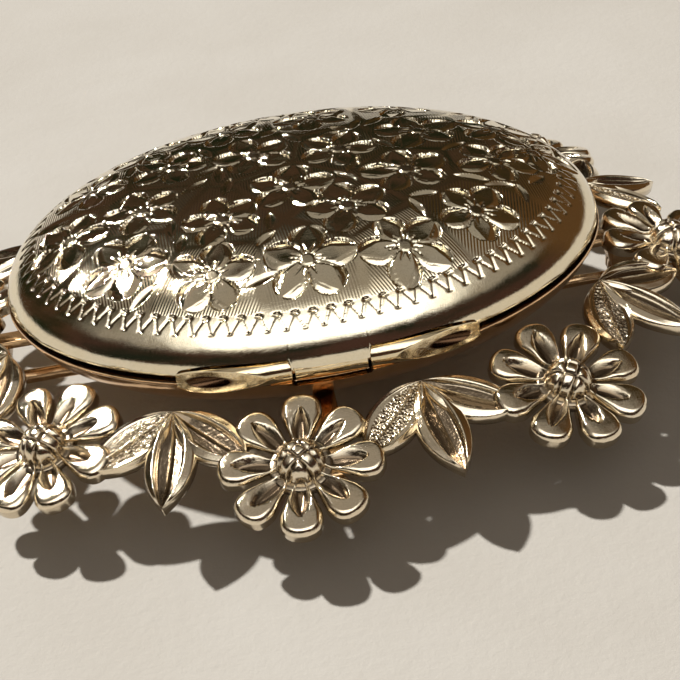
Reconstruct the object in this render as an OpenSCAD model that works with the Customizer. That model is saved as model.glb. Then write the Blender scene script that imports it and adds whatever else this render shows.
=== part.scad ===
// Oval hinged locket brooch in a wreath of flowers and leaf sprays.
// X runs along the locket, Y across it (hinge on -Y), Z up through the front cover.
// The origin is the middle of the whole brooch, at the height of its lowest point.
// Inner heights are measured from the closing seam and lifted by seam_z.

/* [Locket] */
// Length of the locket along X
locket_l = 32; // [30:0.5:36]
// Width of the locket along Y
locket_w = 25; // [24:0.5:28]
// Thickness of the rolled shells
shell_t = 0.4; // [0.3:0.05:0.5]
// Height of the front dome above the seam
front_h = 4.4; // [4:0.1:5.5]
// Depth of the back dome below the seam
back_h = 4; // [3.8:0.1:4.2]
// Open line between the two halves
seam_gap = 0.3; // [0.2:0.05:0.4]
// How far the back rim stands proud of the front cover
rim_proud = 0.12; // [0.05:0.01:0.2]

/* [Hinge] */
// Outer radius of the hinge tube
knuckle_r = 0.65; // [0.6:0.01:0.7]
// Radius of the hinge pin
hinge_pin_r = 0.31; // [0.28:0.01:0.36]
// Length of the middle knuckle
knuckle_l = 3.5; // [3:0.1:4.5]
// Distance of the hinge axis inside the near edge
hinge_inset = 0.7; // [0.68:0.01:0.74]

/* [Wreath] */
// Distance of the flower centres outside the locket's edge
wreath_out = 3.85; // [3.5:0.05:4]
// Depth of the flower centres below the seam
wreath_drop = 2.6; // [2.55:0.05:2.7]
// Outward tilt of flowers and leaves, in degrees
wreath_tilt = 18; // [14:0.5:20]
// Turn of the whole wreath about the locket, in degrees
wreath_turn = -7.7; // [-9:0.1:-6]
// Outer radius of a flower
flower_r = 4; // [3.6:0.05:4]
// Number of petals on a flower
petals = 8; // [8:1:8]
// Length of the middle leaf of a spray
leaf_l = 5.4; // [5:0.1:5.8]
// Width of a leaf
leaf_w = 2.5; // [2:0.1:2.8]

/* [Brooch fitting] */
// Depth of the brooch pin's axis below the seam
pin_drop = 5.6; // [5.5:0.05:5.7]
// Radius of the brooch pin's stem
stem_r = 0.4; // [0.35:0.01:0.45]
// Distance of the pivot and of the catch from the middle
fitting_x = 18.2; // [18:0.1:18.6]
// Turn of the catch roller from closed towards open, in degrees
roller_turn = 0; // [0:5:115]

/* [Hidden] */
COUNT = 8;
$fn = 96;

GOLD = [0.80, 0.66, 0.40];
ROSE_GOLD = [0.74, 0.52, 0.33];
CREAM = [0.90, 0.85, 0.74];
CLEAR = [0.85, 0.90, 0.92, 0.4];

a = locket_l / 2;
b = locket_w / 2;
roller_r = 1;
seam_z = pin_drop + roller_r;
solder = 0.15;          // depth that a soldered piece runs into its neighbour

// Section exponents of the domes: the first squares the shoulder, the second the crown
FRONT_SHAPE = [3.1, 1.8];
BACK_SHAPE = [3.2, 1.8];
DOME_STEPS = 10;        // rows of facets from rim to crown
DOME_SIDES = 72;        // facets around a dome
CROWN_ANGLE = 86;       // the last row stops short of the middle, in degrees

// Hinge
hinge_y = -(b - hinge_inset);
hinge_z = -0.18;
groove_r = knuckle_r + 0.12;
knuckle_gap = 0.15;
filed_proud = 0.2;      // how far the filed tube ends stand proud of the outline
tube_end = 7.4;         // half-length of the tube before its ends are filed flush
pin_end = 3.7;          // half-length of the hinge pin, short of the filed ends
running = 0.03;         // radial clearance of a turning pin

// Rings inside the locket: insets from the outline and heights from the seam
ring_inset = [0.6, 0.95];
ring_z = [-1.2, 0.35];
front_flange = [0.62, 0.87];
front_ledge = [1.7, 1.9];
back_flange = [-0.5, -0.25];
back_ledge = [-1.5, -1.35];

// Wreath
wreath_a = a + wreath_out;
wreath_b = b + wreath_out;
// Set by hand: how far flowers and leaf sprays stray along the wreath, and each one's own turn
FLOWER_SPIN = [20, 12, 30, 22, 8, 2, 42, 34];
FLOWER_STRAY = [0, 0, 0, 0, 2, 4, 0.5, -1];
SPRAY_STRAY = [0, 0, 0, 1, 3, 3, 0, 0];
SPRAY_SPIN = [0, 0, 0, 0, 0, 9, 0, 0];
// Bends equal steps of angle into nearly equal steps along the oval
oval_bend = (pow(wreath_a, 2) - pow(wreath_b, 2)) / (pow(wreath_a, 2) + pow(wreath_b, 2))
    * 45 / PI;
petal_t = 0.9;
leaf_t = 0.75;

// Brooch fitting
strut_z = [-3.35, -2.85];
strut_w = 1.1;
plate_t = 0.9;
plate_size = [2.8, 2.6];
lug_r = 0.75;
lug_t = 0.5;
eye_w = 0.9;
rivet_r = 0.3;
catch_l = 2.2;

// ---- Shapes used by several parts ----

// Lifts a part from seam heights to the brooch's own base
module at_seam() {
    translate([0, 0, seam_z]) children();
}

// Oval disc, inset from the locket's outline, between two heights
module oval(inset, z) {
    translate([0, 0, z[0]]) linear_extrude(z[1] - z[0])
        scale([a - inset, b - inset]) circle(r = 1);
}

module oval_ring(outer, inner, z) {
    difference() {
        oval(outer, z);
        oval(inner, [z[0] - 1, z[1] + 1]);
    }
}

// Half-axes and height of one row of a dome, from the rim (0) to the crown (1)
function dome_row(inset, h, shape, f) =
    let (wide = pow(cos(CROWN_ANGLE * f), 2 / shape[0]))
    [(a - inset) * wide, (b - inset) * wide, h * pow(sin(CROWN_ANGLE * f), 2 / shape[1])];

// Closed skin through oval rows, with a flat cap on the first and on the last
module oval_skin(rows) {
    n = DOME_SIDES;
    last = n * (len(rows) - 1);
    polyhedron(
        points = [for (row = rows, j = [0:n - 1]) let (t = 360 * j / n)
            [row[0] * cos(t), row[1] * sin(t), row[2]]],
        faces = concat(
            [[for (j = [0:n - 1]) n - 1 - j]],
            [[for (j = [0:n - 1]) last + j]],
            [for (i = [0:len(rows) - 2], j = [0:n - 1]) let (k = (j + 1) % n)
                [n * i + j, n * i + k, n * i + n + k]],
            [for (i = [0:len(rows) - 2], j = [0:n - 1]) let (k = (j + 1) % n)
                [n * i + j, n * i + n + k, n * i + n + j]]));
}

// Domed shell standing on z = 0; lip adds rows of half-axes and height at its outer edge
module dome_shell(h, shape, lip = []) {
    steps = DOME_STEPS;
    oval_skin(concat(
        [for (i = [steps:-1:len(lip) > 0 ? 1 : 0]) dome_row(0, h, shape, i / steps)],
        lip,
        [for (i = [0:steps]) dome_row(shell_t, h - shell_t, shape, i / steps)]));
}

// Rod along X on the hinge axis
module hinge_rod(r, x) {
    translate([x[0], hinge_y, hinge_z]) rotate([0, 90, 0]) cylinder(r = r, h = x[1] - x[0]);
}

// Room for the hinge outside its axis, from a height up or down
module hinge_notch(half_l, z) {
    translate([-half_l, -b - 2, z[0]]) cube([2 * half_l, b + 2 + hinge_y, z[1] - z[0]]);
}

// One knuckle: tube filed flush with the oval outline
module knuckle(x, bore_r) {
    difference() {
        intersection() {
            hinge_rod(knuckle_r, x);
            // The tube's ends are filed along the oval outline
            translate([0, 0, -2]) linear_extrude(4) polygon(concat([[a / 2, 0], [-a / 2, 0]],
                [for (u = [-a / 2:a / 10:a / 2]) [u, -filed_proud - b * sqrt(1 - pow(u / a, 2))]]));
        }
        hinge_rod(bore_r, [x[0] - 1, x[1] + 1]);
    }
}

// Places children on the wreath: local Y points outward, tilted down, X runs along it
module on_wreath(turn) {
    t = turn + oval_bend * sin(2 * turn);
    p = [wreath_a * cos(t), wreath_b * sin(t), -wreath_drop];
    facing = atan2(sin(t) / wreath_b, cos(t) / wreath_a);
    translate(p) rotate([0, 0, facing - 90]) rotate([-wreath_tilt, 0, 0]) children();
}

// Pointed oval from the origin along +Y
module lens(l, w) {
    r = (l * l + w * w) / (4 * w);
    intersection() {
        translate([r - w / 2, l / 2]) circle(r = r);
        translate([w / 2 - r, l / 2]) circle(r = r);
    }
}

// ---- Front half ----

module front_cover() {
    middle = knuckle_l / 2 + knuckle_gap;
    color(GOLD) at_seam() difference() {
        dome_shell(front_h, FRONT_SHAPE);
        hinge_rod(knuckle_r, [-middle - 0.01, middle + 0.01]);
        for (side = [-1, 1]) {
            hinge_rod(groove_r, side > 0 ? [middle, a] : [-a, -middle]);
            translate([side * (middle + tube_end) / 2, -b, hinge_z])
                cube([tube_end - middle, 2 * hinge_inset, 2 * groove_r], center = true);
        }
    }
}

module front_bezel() {
    color(ROSE_GOLD) at_seam() difference() {
        union() {
            oval(0.45 + solder, front_flange);
            oval(2.6, [front_flange[0], front_ledge[1]]);
        }
        oval(2.9, [0, front_ledge[0]]);
        oval(3.6, [0, 3]);
    }
}

module front_frame() {
    color(GOLD) at_seam() oval_ring(2.95, 3.7, [0.5, 1]);
}

module front_window() {
    color(CLEAR) at_seam() oval(3, [1.02, 1.24]);
}

module front_picture() {
    color(CREAM) at_seam() oval(3, [1.26, 1.68]);
}

module front_knuckle() {
    color(GOLD) at_seam() knuckle([-knuckle_l / 2, knuckle_l / 2], hinge_pin_r + running);
}

module thumb_lip() {
    color(GOLD) at_seam() difference() {
        translate([0, b - 0.6, 0.05]) cylinder(r = 1.5, h = 0.3);
        oval(shell_t / 2, [-1, 1]);
    }
}

// ---- Back half ----

module back_cover() {
    middle = knuckle_l / 2 + knuckle_gap;
    bead_t = 0.25;
    color(ROSE_GOLD) at_seam() difference() {
        translate([0, 0, -seam_gap]) mirror([0, 0, 1]) dome_shell(back_h, BACK_SHAPE, [
            [a - 0.02, b - 0.02, bead_t + 0.08],
            [a + rim_proud, b + rim_proud, bead_t],
            [a + rim_proud, b + rim_proud, 0]]);
        hinge_rod(knuckle_r, [-tube_end, tube_end]);
        hinge_rod(groove_r, [-middle, middle]);
        hinge_notch(tube_end, [hinge_z - knuckle_r + 0.1, 1]);
        hinge_notch(middle, [hinge_z - groove_r, 1]);
    }
}

module closing_ring() {
    color(ROSE_GOLD) at_seam() difference() {
        oval_ring(ring_inset[0], ring_inset[1], ring_z);
        // The ring stops short of the hinge tube
        translate([-tube_end - 1, -b, hinge_z - groove_r])
            cube([2 * tube_end + 2, b + hinge_y + groove_r, 2]);
    }
}

module back_bezel() {
    color(ROSE_GOLD) at_seam() difference() {
        union() {
            oval(ring_inset[1] - solder, back_flange);
            oval(2.3, [back_ledge[0], back_flange[1]]);
        }
        oval(2.6, [back_ledge[1], 0]);
        oval(3.4, [-3, 0]);
        hinge_rod(groove_r, [-a, a]);
        hinge_notch(tube_end + 1, [-2, 2]);
    }
}

module back_frame() {
    color(GOLD) at_seam() oval_ring(2.65, 3.5, [-0.62, -0.12]);
}

module back_window() {
    color(CLEAR) at_seam() oval(2.7, [-0.86, -0.64]);
}

module back_picture() {
    color(CREAM) at_seam() oval(2.7, [-1.33, -0.88]);
}

module back_knuckle_left() {
    color(GOLD) at_seam() knuckle([-tube_end, -knuckle_l / 2 - knuckle_gap], hinge_pin_r);
}

module back_knuckle_right() {
    color(GOLD) at_seam() knuckle([knuckle_l / 2 + knuckle_gap, tube_end], hinge_pin_r);
}

module hinge_pin() {
    color(ROSE_GOLD) at_seam() hinge_rod(hinge_pin_r, [-pin_end, pin_end]);
}

// ---- Wreath ----

// Flat petal: round end, straight sides running in to the flower's middle
module petal_outline() {
    end_r = 0.25 * flower_r;
    reach = flower_r - end_r;
    spread = acos(end_r / reach);
    translate([0, reach]) circle(r = end_r);
    polygon([[0, 0],
        [end_r * sin(spread), reach - end_r * cos(spread)],
        [-end_r * sin(spread), reach - end_r * cos(spread)]]);
}

module flower() {
    heart_r = 1.2;
    cut = 0.18;
    difference() {
        union() {
            for (i = [0:petals - 1]) rotate(360 * i / petals)
                translate([0, 0, -petal_t / 2]) linear_extrude(petal_t) petal_outline();
            translate([0, 0, -petal_t / 2]) cylinder(r = 1.5, h = 0.5);
            translate([0, 0, 0.1]) sphere(r = heart_r);
        }
        // Chased line along every petal
        for (i = [0:petals - 1]) rotate(360 * i / petals) translate([0, 1.35, petal_t / 2 - 0.25])
            linear_extrude(1) lens(2, 0.5);
        // Crossed cuts in the heart
        for (turn = [0, 90], side = [-0.36, 0.36]) rotate(turn)
            translate([side - cut / 2, -2, heart_r - 0.3]) cube([cut, 4, 1]);
        translate([0, 0, -petal_t / 2 - 2]) cylinder(r = 2, h = 2);
    }
}

module flower_at(i) {
    turn = wreath_turn + 360 * (i - 1) / COUNT + FLOWER_STRAY[i - 1];
    color(GOLD) at_seam() on_wreath(turn) rotate(FLOWER_SPIN[i - 1]) flower();
}

// One leaf with a sunk face inside its raised border
module leaf(l, w) {
    border = 0.3;
    difference() {
        linear_extrude(leaf_t) lens(l, w);
        translate([0, 1.4 * border, leaf_t - 0.2]) linear_extrude(1)
            lens(l - 2.8 * border, w - 2 * border);
    }
}

module leaf_spray() {
    apex = -3.1;
    side_angle = 52;
    translate([0, apex, -leaf_t / 2]) {
        leaf(leaf_l, leaf_w);
        for (side = [-1, 1]) rotate(side * side_angle) leaf(0.9 * leaf_l, leaf_w);
    }
}

module leaf_spray_at(i) {
    turn = wreath_turn + 360 * (i - 0.5) / COUNT + SPRAY_STRAY[i - 1];
    color(GOLD) at_seam() on_wreath(turn) rotate(SPRAY_SPIN[i - 1]) leaf_spray();
}

// ---- Struts and brooch fitting ----

// Flat strip along +X from the back dome out to a flower
module strut(start, end) {
    translate([start, -strut_w / 2, strut_z[0]])
        cube([end - start, strut_w, strut_z[1] - strut_z[0]]);
}

module strut_hinge_side() {
    color(ROSE_GOLD) at_seam() translate([-0.5, 0, 0]) rotate(-90) strut(0.77 * b, b + 4.6);
}

module strut_far_side() {
    color(ROSE_GOLD) at_seam() translate([0.5, 0, 0]) rotate(90) strut(0.77 * b, b + 4.6);
}

module strut_left() {
    color(ROSE_GOLD) at_seam() rotate(180) strut(0.77 * a, a + 4.6);
}

module strut_right() {
    color(ROSE_GOLD) at_seam() strut(0.77 * a, a + 4.6);
}

// Small plate under a strut that carries a fitting
module fitting_plate(x) {
    translate([x, 0, strut_z[0] - plate_t / 2])
        cube([plate_size[0], plate_size[1], plate_t], center = true);
}

// Rod along Y on the brooch pin's pivot
module pivot_rod(r, y) {
    translate([-fitting_x, y[1], -pin_drop]) rotate([90, 0, 0]) cylinder(r = r, h = y[1] - y[0]);
}

module joint_bracket() {
    inner = eye_w / 2 + 0.05;
    color(ROSE_GOLD) at_seam() {
        fitting_plate(-fitting_x);
        for (y = [[inner, inner + lug_t], [-inner - lug_t, -inner]]) difference() {
            union() {
                pivot_rod(lug_r, y);
                translate([-fitting_x - lug_r, y[0], -pin_drop])
                    cube([2 * lug_r, lug_t, pin_drop + strut_z[0] - plate_t / 2]);
            }
            pivot_rod(rivet_r, [y[0] - 1, y[1] + 1]);
        }
    }
}

module joint_rivet() {
    reach = eye_w / 2 + 0.05 + lug_t;
    head = 0.2;
    color(GOLD) at_seam() {
        pivot_rod(rivet_r, [-reach - head, reach + head]);
        pivot_rod(0.5, [reach, reach + head]);
        pivot_rod(0.5, [-reach - head, -reach]);
    }
}

// Rod or cone along +X on the brooch pin's axis
module stem_rod(x, l, r1, r2) {
    translate([x, 0, -pin_drop]) rotate([0, 90, 0]) cylinder(r1 = r1, r2 = r2, h = l);
}

module pin_stem() {
    collar_r = 0.6;
    collar_x = lug_r + 0.1 - fitting_x;
    collar_l = 0.8;
    neck_x = 12;
    tip_x = fitting_x + catch_l / 2;
    tip_r = 0.3;
    color(ROSE_GOLD) at_seam() difference() {
        union() {
            pivot_rod(0.7, [-eye_w / 2, eye_w / 2]);
            stem_rod(-fitting_x, fitting_x + neck_x, stem_r, stem_r);
            stem_rod(collar_x, collar_l, collar_r, collar_r);
            stem_rod(neck_x, 4, stem_r, tip_r);
            stem_rod(neck_x + 4, tip_x - neck_x - 4, tip_r, tip_r);
            stem_rod(tip_x, 1.6, tip_r, 0.04);
        }
        pivot_rod(rivet_r + running, [-2, 2]);
    }
}

module catch_shell() {
    outer_r = 1.4;
    color(ROSE_GOLD) at_seam() {
        fitting_plate(fitting_x);
        difference() {
            stem_rod(fitting_x - catch_l / 2, catch_l, outer_r, outer_r);
            stem_rod(fitting_x - catch_l, 2 * catch_l, roller_r + 0.05, roller_r + 0.05);
            // Mouth, facing straight away from the back
            translate([fitting_x - catch_l, -2, -pin_drop - 2.12]) cube([2 * catch_l, 4, 2]);
        }
    }
}

module catch_roller() {
    slot_w = 0.9;
    closed_angle = 155;    // direction of the slot from +Y towards +Z when shut
    lever_lead = 45;
    color(GOLD) at_seam() translate([fitting_x, 0, -pin_drop])
        rotate([closed_angle + roller_turn, 0, 0]) {
            difference() {
                rotate([0, 90, 0]) cylinder(r = roller_r, h = catch_l, center = true);
                rotate([0, 90, 0]) cylinder(r = 0.55, h = 2 * catch_l, center = true);
                translate([-catch_l, 0, -slot_w / 2]) cube([2 * catch_l, 2, slot_w]);
            }
            rotate([lever_lead, 0, 0]) translate([-0.4, 0.75, -0.175]) cube([0.8, 1, 0.35]);
        }
}

front_cover();
front_bezel();
front_frame();
front_window();
front_picture();
front_knuckle();
thumb_lip();
back_cover();
closing_ring();
back_bezel();
back_frame();
back_window();
back_picture();
back_knuckle_left();
back_knuckle_right();
hinge_pin();
for (i = [1:COUNT]) flower_at(i);
for (i = [1:COUNT]) leaf_spray_at(i);
strut_hinge_side();
strut_far_side();
strut_left();
strut_right();
joint_bracket();
joint_rivet();
pin_stem();
catch_shell();
catch_roller();
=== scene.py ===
import math
import random
import bmesh
import bpy
import numpy as np
from mathutils import Matrix, Vector


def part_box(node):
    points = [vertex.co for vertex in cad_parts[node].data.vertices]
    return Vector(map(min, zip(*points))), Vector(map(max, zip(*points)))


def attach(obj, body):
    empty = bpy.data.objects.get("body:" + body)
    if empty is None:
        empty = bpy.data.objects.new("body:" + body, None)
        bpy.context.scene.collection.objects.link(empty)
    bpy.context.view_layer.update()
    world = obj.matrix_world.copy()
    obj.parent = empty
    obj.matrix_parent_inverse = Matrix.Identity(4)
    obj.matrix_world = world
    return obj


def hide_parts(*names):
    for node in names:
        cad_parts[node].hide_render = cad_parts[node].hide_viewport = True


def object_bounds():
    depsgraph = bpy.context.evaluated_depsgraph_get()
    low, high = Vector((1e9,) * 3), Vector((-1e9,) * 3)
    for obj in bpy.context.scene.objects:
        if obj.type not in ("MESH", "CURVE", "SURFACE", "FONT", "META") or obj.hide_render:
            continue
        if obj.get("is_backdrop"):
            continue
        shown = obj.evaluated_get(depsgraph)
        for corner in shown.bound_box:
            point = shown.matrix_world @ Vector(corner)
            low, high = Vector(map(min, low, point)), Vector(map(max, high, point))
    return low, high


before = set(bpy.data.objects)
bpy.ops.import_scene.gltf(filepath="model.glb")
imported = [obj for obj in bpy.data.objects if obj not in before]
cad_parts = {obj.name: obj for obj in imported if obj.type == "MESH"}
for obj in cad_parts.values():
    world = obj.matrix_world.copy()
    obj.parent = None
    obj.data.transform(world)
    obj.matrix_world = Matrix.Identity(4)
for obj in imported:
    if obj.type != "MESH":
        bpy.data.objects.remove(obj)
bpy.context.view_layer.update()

# Shapes below are in millimetres, at heights measured from the locket's closing seam, until a
# mesh is made: SEAM lifts them into the model's frame and MM turns them into metres.
MM = 0.001
cover_low, cover_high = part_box("front_cover")
SEAM = cover_low.z / MM
A = (cover_high.x - cover_low.x) / 2 / MM
B = cover_high.y / MM

# ---------------------------------------------------------------- mesh helpers


def smoothstep(x):
    x = np.clip(x, 0, 1)
    return x * x * (3 - 2 * x)


def make(name, verts, faces, material, body, stands_for=(), values=None, sharp=None):
    """One piece from arrays in millimetres; values are per-vertex numbers for its material."""
    mesh = bpy.data.meshes.new(name)
    co = (np.asarray(verts, float) + [0, 0, SEAM]) * MM
    sizes = np.array([len(f) for f in faces], np.int32)
    loops = np.fromiter((i for f in faces for i in f), np.int32, int(sizes.sum()))
    mesh.vertices.add(len(co))
    mesh.vertices.foreach_set("co", co.ravel())
    mesh.loops.add(len(loops))
    mesh.loops.foreach_set("vertex_index", loops)
    mesh.polygons.add(len(sizes))
    mesh.polygons.foreach_set("loop_start", np.concatenate([[0], np.cumsum(sizes)[:-1]]))
    mesh.update(calc_edges=True)
    mesh.validate()
    for key, data in (values or {}).items():
        layer = mesh.attributes.new(key, "FLOAT", "POINT")
        layer.data.foreach_set("value", np.asarray(data, np.float32))
    mesh.polygons.foreach_set("use_smooth", np.ones(len(mesh.polygons), bool))
    if sharp:
        mesh.set_sharp_from_angle(angle=math.radians(sharp))
    mesh.materials.append(material)
    piece = bpy.data.objects.new(name, mesh)
    bpy.context.scene.collection.objects.link(piece)
    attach(piece, body)
    if stands_for:
        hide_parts(*stands_for)


def stitch(lower, upper):
    """Faces between two closed rows of vertex numbers; the upper row may have half as many."""
    n, m = len(lower), len(upper)
    if n == m:
        return [(lower[i], lower[(i + 1) % n], upper[(i + 1) % n], upper[i]) for i in range(n)]
    faces = []
    for j in range(m):
        i = 2 * j
        last = lower[(i + 2) % n]
        faces += [(lower[i], lower[i + 1], upper[j]),
                  (lower[i + 1], last, upper[(j + 1) % m]),
                  (lower[i + 1], upper[(j + 1) % m], upper[j])]
    return faces


def loft(sections, close_ends=True):
    """Closed skin through sections of equal point count, each a closed loop."""
    s = np.asarray(sections, float)
    k, n = s.shape[:2]
    faces = []
    for i in range(k - 1):
        row = range(n * i, n * i + n)
        faces += stitch(list(row), [j + n for j in row])
    if close_ends:
        faces.append(tuple(range(n - 1, -1, -1)))
        faces.append(tuple(range(n * (k - 1), n * k)))
    return s.reshape(-1, 3), faces


def join(parts):
    """Several (verts, faces, values) as one."""
    verts, faces, values, base = [], [], {}, 0
    for v, f, a in parts:
        verts.append(v)
        faces += [tuple(i + base for i in face) for face in f]
        base += len(v)
        for key in a:
            values.setdefault(key, []).append(a[key])
    return np.concatenate(verts), faces, {k: np.concatenate(v) for k, v in values.items()}


# ---------------------------------------------------------------- materials


class Tree:
    """Short way to write a node tree."""

    def __init__(self, tree):
        self.tree = tree
        tree.nodes.clear()

    def add(self, kind, inputs=None, **props):
        node = self.tree.nodes.new("ShaderNode" + kind)
        for key, value in props.items():
            setattr(node, key, value)
        for key, value in (inputs or {}).items():
            if isinstance(value, bpy.types.NodeSocket):
                self.tree.links.new(value, node.inputs[key])
            else:
                node.inputs[key].default_value = value
        return node

    def math(self, operation, a, b=0.0, clamp=False):
        node = self.add("Math", {0: a, 1: b}, operation=operation, use_clamp=clamp)
        return node.outputs[0]

    def millimetres(self):
        """Object coordinates in millimetres."""
        return self.stretch(self.add("TexCoord").outputs["Object"], (1 / MM, 1 / MM, 1 / MM))

    def noise(self, vector, scale, detail=3.0, rough=0.5):
        node = self.add("TexNoise", {"Vector": vector, "Scale": scale, "Detail": detail,
                                     "Roughness": rough})
        return node.outputs["Fac"]

    def stretch(self, vector, scale, turn=(0, 0, 0)):
        return self.add("Mapping", {"Vector": vector, "Scale": scale, "Rotation": turn}).outputs[0]

    def remap(self, value, low, high, to_low, to_high):
        node = self.add("MapRange", {"Value": value, "From Min": low, "From Max": high,
                                     "To Min": to_low, "To Max": to_high})
        return node.outputs[0]

    def mix(self, factor, first, second):
        node = self.add("MixRGB", {0: factor, 1: first, 2: second})
        return node.outputs[0]

    def attribute(self, name):
        return self.add("Attribute", attribute_name=name).outputs["Fac"]


def rgba(c):
    return (c[0], c[1], c[2], 1.0)


def new_material(name):
    """An empty node material and its tree."""
    material = bpy.data.materials.new(name)
    material.use_nodes = True
    return material, Tree(material.node_tree)


HATCH_HEIGHT, HATCH_SHADE = 0.028, 0.22     # ridge height and darkening of the hatched ground


def gold(name, base, tarnish_and_shade, rough=0.12, waviness=0.25, scratch=0.12, engraved=False,
         worked=False):
    """Polished gold with fine scratches, slow waviness, random tarnish, and painted shade darkening
    its recesses.
    """
    material, t = new_material(name)
    where = t.millimetres()
    patches = t.noise(where, 0.35, 4.0, 0.6)
    scratches = t.noise(t.stretch(where, (9, 0.7, 3), (0, 0, 0.5)), 2.2, 4.0, 0.65)
    scratches_2 = t.noise(t.stretch(where, (0.8, 10, 4), (0.2, 0, 0.25)), 2.0, 4.0, 0.65)
    fine = t.noise(where, 14.0, 4.0, 0.7)
    warm = tuple(b * f for b, f in zip(base, (1.0, 0.93, 0.82)))
    colour = t.mix(t.remap(patches, 0.3, 0.75, 0.0, 0.8), rgba(base), rgba(warm))
    colour = t.mix(t.remap(fine, 0.45, 0.8, 0.0, 0.25), colour, rgba(tarnish_and_shade))
    roughness = t.remap(fine, 0.3, 0.8, rough * 0.7, rough * 1.5)
    height = t.math("MULTIPLY", t.noise(where, 0.55, 2.0, 0.4), waviness)
    lines = t.math("ADD", t.remap(scratches, 0.5, 0.8, 0.0, 1.0),
                   t.remap(scratches_2, 0.5, 0.8, 0.0, 1.0))
    height = t.math("ADD", height, t.math("MULTIPLY", lines, scratch * 0.02))
    if engraved or worked:
        # Painted shade: the marked recesses, sides and bores are mixed towards the dark colour and
        # made rougher.
        painted_shade = t.attribute("painted_shade")
        colour = t.mix(t.math("MULTIPLY", painted_shade, 1.0 if worked else 0.35, True), colour,
                       rgba(tarnish_and_shade))
        roughness = t.math("ADD", roughness,
                           t.math("MULTIPLY", painted_shade, 0.16 if worked else 0.1))
    if worked:
        stipple = t.attribute("stipple")
        grain = t.add("TexVoronoi", {"Vector": where, "Scale": 6.5}).outputs["Distance"]
        height = t.math("ADD", height, t.math("MULTIPLY", t.math("MULTIPLY", grain, stipple),
                                              0.09))
        colour = t.mix(t.math("MULTIPLY", t.math("MULTIPLY", t.remap(grain, 0.1, 0.6, 1, 0),
                                                 stipple), 0.45), colour, rgba(tarnish_and_shade))
    if engraved:
        ground = t.attribute("ground")
        wave = t.math("PINGPONG", t.attribute("hatch"), 0.5)
        grooves = t.math("MULTIPLY", t.math("MULTIPLY", wave, ground), HATCH_HEIGHT)
        height = t.math("ADD", height, grooves)
        low = t.math("MULTIPLY", t.remap(wave, 0.0, 0.3, 1.0, 0.0), ground)
        colour = t.mix(t.math("MULTIPLY", low, HATCH_SHADE), colour, rgba(tarnish_and_shade))
        roughness = t.math("ADD", roughness, t.math("MULTIPLY", ground, 0.03))
    bump = t.add("Bump", {"Height": height, "Distance": 0.001, "Strength": 1.0})
    shader = t.add("BsdfPrincipled", {"Base Color": colour, "Roughness": roughness,
                                      "Metallic": 1.0, "Normal": bump.outputs[0]})
    t.add("OutputMaterial", {"Surface": shader.outputs[0]})
    return material


def film(name):
    """Clear plastic film with a faint haze and slight waviness."""
    material, t = new_material(name)
    where = t.millimetres()
    haze = t.remap(t.noise(where, 0.8, 4.0, 0.6), 0.3, 0.8, 0.03, 0.12)
    bump = t.add("Bump", {"Height": t.noise(where, 0.3, 2.0), "Distance": 0.0001})
    tint = t.mix(t.noise(where, 0.2), rgba((0.97, 0.98, 0.97)), rgba((0.93, 0.95, 0.92)))
    shader = t.add("BsdfPrincipled", {"Base Color": tint, "Roughness": haze, "IOR": 1.46,
                                      "Transmission Weight": 1.0, "Normal": bump.outputs[0]})
    t.add("OutputMaterial", {"Surface": shader.outputs[0]})
    return material


def card(name):
    """Cream card with paper fibre and faint foxing."""
    material, t = new_material(name)
    where = t.millimetres()
    fibre = t.noise(t.stretch(where, (1, 4, 1), (0, 0, 0.6)), 3.0, 6.0, 0.7)
    spots = t.remap(t.noise(where, 0.7, 5.0, 0.65), 0.58, 0.75, 0.0, 0.6)
    colour = t.mix(fibre, rgba((0.80, 0.73, 0.58)), rgba((0.88, 0.82, 0.68)))
    colour = t.mix(spots, colour, rgba((0.62, 0.48, 0.30)))
    bump = t.add("Bump", {"Height": fibre, "Distance": 0.00003, "Strength": 0.6})
    shader = t.add("BsdfPrincipled", {"Base Color": colour, "Normal": bump.outputs[0],
                                      "Roughness": t.remap(fibre, 0.2, 0.8, 0.75, 0.95)})
    t.add("OutputMaterial", {"Surface": shader.outputs[0]})
    return material


COVER = gold("engraved_yellow_gold", (0.91, 0.84, 0.67), (0.20, 0.15, 0.09), 0.065, 0.035,
             scratch=0.06, engraved=True)
WREATH = gold("chased_pale_gold", (0.90, 0.81, 0.65), (0.10, 0.06, 0.03), 0.09, 0.12,
              worked=True)
HINGE = gold("hinge_gold", (0.90, 0.78, 0.55), (0.10, 0.055, 0.03), 0.08, 0.04,
             scratch=0.08, worked=True)
BACK = gold("polished_rosy_gold", (0.85, 0.60, 0.38), (0.28, 0.16, 0.09), 0.10, 0.05,
            scratch=0.08)
INNER = gold("inner_rosy_gold", (0.83, 0.62, 0.40), (0.33, 0.20, 0.11), 0.18, 0.15)
# The fittings sit in the shadow under the locket, and their gold is painted darker as shade.
SHADE_DARKENED_FITTING = gold("fitting_gold", (0.68, 0.48, 0.29), (0.30, 0.18, 0.10), 0.17, 0.2)
WINDOW = film("window_film")
CARD = card("cream_card")

# ---------------------------------------------------------------- domes of the two shells

# Sizes shared with the CAD
SHELL = 0.4             # thickness of the sheet
SEAM_GAP = 0.3          # between the two covers
FRONT_H, BACK_H = 4.4, 4.0
FRONT_SECTION, BACK_SECTION = (3.1, 1.8), (3.2, 1.8)    # exponents of each dome's section
HINGE_IN = 0.7          # hinge axis inside the oval's edge
HINGE_Y, HINGE_Z = HINGE_IN - B, -0.18
TUBE_R, GROOVE_R = 0.65, 0.77
FREE_BORE, TIGHT_BORE = 0.34, 0.31
MIDDLE = 1.9            # half the gap between the two outer knuckles
MIDDLE_TUBE = 1.75      # half the length of the middle knuckle
TUBE_END = 7.4

PROFILE_POINTS = 3000
# The front skin lies this far inside the CAD cover at its crown and at its sides. The back skin's
# lowest point is inset like the crown, but its rim bead stands proud of the CAD.
TOP_INSET, SIDE_INSET = 0.004, 0.005


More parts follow.
